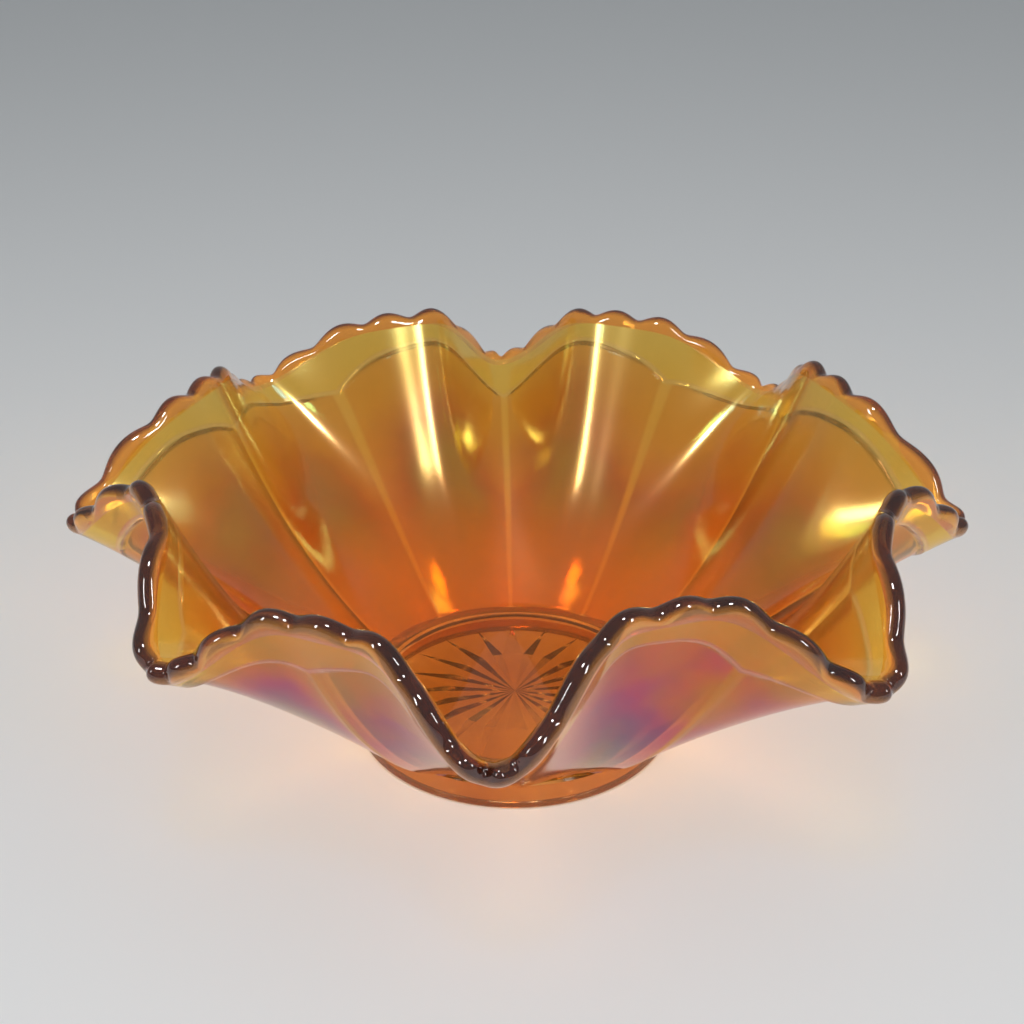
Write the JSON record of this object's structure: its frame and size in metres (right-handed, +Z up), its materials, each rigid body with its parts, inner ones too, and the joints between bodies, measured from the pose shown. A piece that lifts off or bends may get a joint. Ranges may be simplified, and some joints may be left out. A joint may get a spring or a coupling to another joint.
{
  "type": "ruffled glass bowl",
  "caption": "Ruffled pressed-glass bowl with arched outside panels, a rayed star under the floor, a low collar foot and a scalloped rim; holds fruit or stands on display.",
  "frame": {"origin": "centre of the collar foot's underside, in the plane that the bowl stands on", "axes": "+Z up through the bowl's mouth; -Y towards the front dip of the ruffled rim; +X to the right of that front"},
  "size_m": [0.2367, 0.2307, 0.0892],
  "materials": {
    "amber_glass": "clear amber, fire-polished",
    "marigold_glass": "amber with an iridescent lustre",
    "amethyst_glass": "dark brown-amethyst edge, fire-polished and lustred"
  },
  "bodies": {
    "root": {"collar_foot": "amber_glass", "star_base": "amber_glass", "arched_panel_1": "marigold_glass", "arched_panel_2": "marigold_glass", "arched_panel_3": "marigold_glass", "arched_panel_4": "marigold_glass", "arched_panel_5": "marigold_glass", "arched_panel_6": "marigold_glass", "arched_panel_7": "marigold_glass", "arched_panel_8": "marigold_glass", "arched_panel_9": "marigold_glass", "arched_panel_10": "marigold_glass", "arched_panel_11": "marigold_glass", "arched_panel_12": "marigold_glass", "scalloped_rim": "amethyst_glass"}
  },
  "joints": []
}
